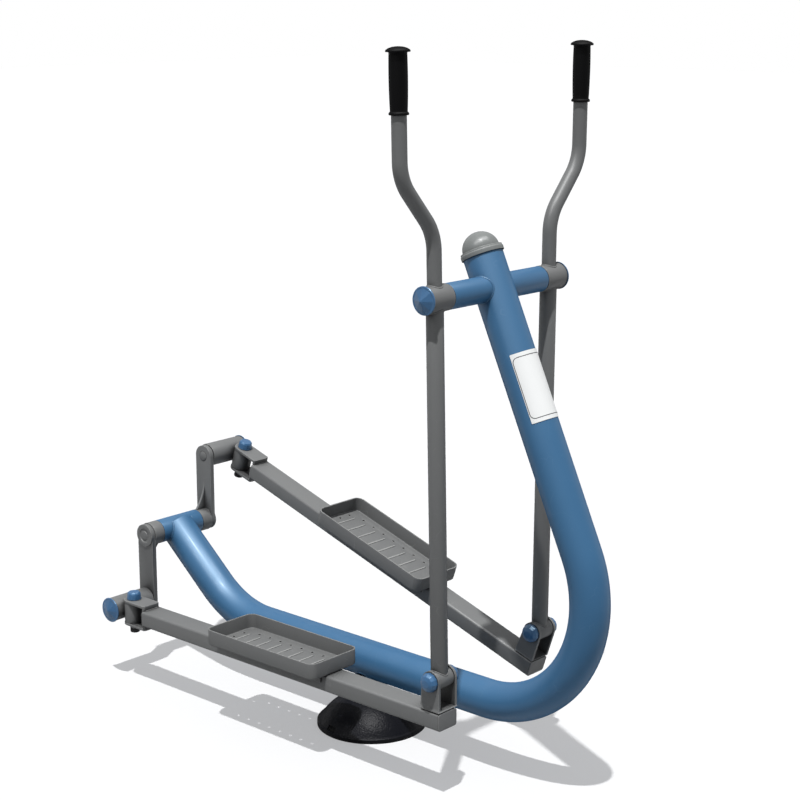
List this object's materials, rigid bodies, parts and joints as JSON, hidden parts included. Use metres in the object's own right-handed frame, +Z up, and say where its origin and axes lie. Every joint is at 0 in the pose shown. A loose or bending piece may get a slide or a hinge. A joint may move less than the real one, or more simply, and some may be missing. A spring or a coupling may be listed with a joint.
{
  "type": "outdoor air walker",
  "caption": "Outdoor air walker: bent main tube on a domed foot, swinging arms with hand grips, and foot trays on beams driven by a rear crank.",
  "frame": {"origin": "centre of the foot flange's underside, on the ground", "axes": "+X forward, towards the mast; +Y to the walker's left; +Z up"},
  "size_m": [1.4116, 0.64, 1.6203],
  "materials": {
    "blue_paint": "semi-gloss",
    "grey_paint": "satin",
    "steel": "satin",
    "grip_rubber": "matt",
    "black_plastic": "matt",
    "blue_plastic": "gloss"
  },
  "bodies": {
    "frame": {"main_tube": "blue_paint", "mast_cap": "grey_paint", "cross_tube": "blue_paint", "top_axle": "steel", "crank_housing": "blue_paint", "crank_bearing_right": "steel", "crank_bearing_left": "steel", "base_post": "blue_paint", "base_flange": "steel", "dome_cover": "black_plastic"},
    "crank": {"crank_shaft": "steel", "crank_hub_right": "grey_paint", "crank_arm_right": "grey_paint", "crank_pin_right": "steel", "crank_hub_left": "grey_paint", "crank_arm_left": "grey_paint", "crank_pin_left": "steel"},
    "right_arm": {"arm_hub_right": "grey_paint", "hub_bearing_right": "steel", "hub_cap_right": "blue_plastic", "arm_lower_tube_right": "grey_paint", "handle_tube_right": "grey_paint", "grip_right": "grip_rubber", "arm_sleeve_right": "grey_paint"},
    "right_beam": {"beam_right": "grey_paint", "beam_plug_right": "grey_paint", "fork_bracket_right": "grey_paint", "fork_bolt_right": "steel", "fork_cap_inner_right": "blue_plastic", "fork_cap_outer_right": "blue_plastic", "foot_tray_right": "grey_paint", "yoke_plate_upper_right": "grey_paint", "yoke_plate_lower_right": "grey_paint", "swivel_bolt_right": "steel", "swivel_cap_right": "blue_plastic"},
    "right_pin_housing": {"pin_housing_right": "grey_paint", "pin_cap_right": "blue_plastic"},
    "left_arm": {"arm_hub_left": "grey_paint", "hub_bearing_left": "steel", "hub_cap_left": "blue_plastic", "arm_lower_tube_left": "grey_paint", "handle_tube_left": "grey_paint", "grip_left": "grip_rubber", "arm_sleeve_left": "grey_paint"},
    "left_beam": {"beam_left": "grey_paint", "beam_plug_left": "grey_paint", "fork_bracket_left": "grey_paint", "fork_bolt_left": "steel", "fork_cap_inner_left": "blue_plastic", "fork_cap_outer_left": "blue_plastic", "foot_tray_left": "grey_paint", "yoke_plate_upper_left": "grey_paint", "yoke_plate_lower_left": "grey_paint", "swivel_bolt_left": "steel", "swivel_cap_left": "blue_plastic"},
    "left_pin_housing": {"pin_housing_left": "grey_paint", "pin_cap_left": "blue_plastic"}
  },
  "joints": [
    {"name": "crank_turn", "type": "hinge", "parent": "frame", "child": "crank", "pos_m": [-0.698, 0, 0.3516], "axis": [0, 1, 0], "range_deg": [-10, 45]},
    {"name": "right_arm_swing", "type": "hinge", "parent": "frame", "child": "right_arm", "pos_m": [0.363, -0.1935, 1.104], "axis": [0, 1, 0], "range_deg": [-2.03, 8.59]},
    {"name": "right_beam_pivot", "type": "hinge", "parent": "right_arm", "child": "right_beam", "pos_m": [0.38181, -0.1935, 0.27221], "axis": [0, 1, 0], "range_deg": [-6.73, 1.61]},
    {"name": "right_swivel", "type": "hinge", "parent": "right_beam", "child": "right_pin_housing", "pos_m": [-0.647, -0.1935, 0.1801], "axis": [-0.002, 0, 1], "range_deg": [-1, 1]},
    {"name": "left_arm_swing", "type": "hinge", "parent": "frame", "child": "left_arm", "pos_m": [0.363, 0.1935, 1.104], "axis": [0, 1, 0], "range_deg": [-9.24, 2.17]},
    {"name": "left_beam_pivot", "type": "hinge", "parent": "left_arm", "child": "left_beam", "pos_m": [0.35624, 0.1935, 0.27203], "axis": [0, 1, 0], "range_deg": [-1.62, 6.76]},
    {"name": "left_swivel", "type": "hinge", "parent": "left_beam", "child": "left_pin_housing", "pos_m": [-0.64954, 0.1935, 0.5073], "axis": [0.3117, 0, 0.9502], "range_deg": [-1, 1]}
  ],
  "couplings": [
    {"joint": "right_arm_swing", "follows": "crank_turn", "ratio": 0.1876},
    {"joint": "right_beam_pivot", "follows": "crank_turn", "ratio": -0.1463},
    {"joint": "left_arm_swing", "follows": "crank_turn", "ratio": -0.2019},
    {"joint": "left_beam_pivot", "follows": "crank_turn", "ratio": 0.1468}
  ]
}
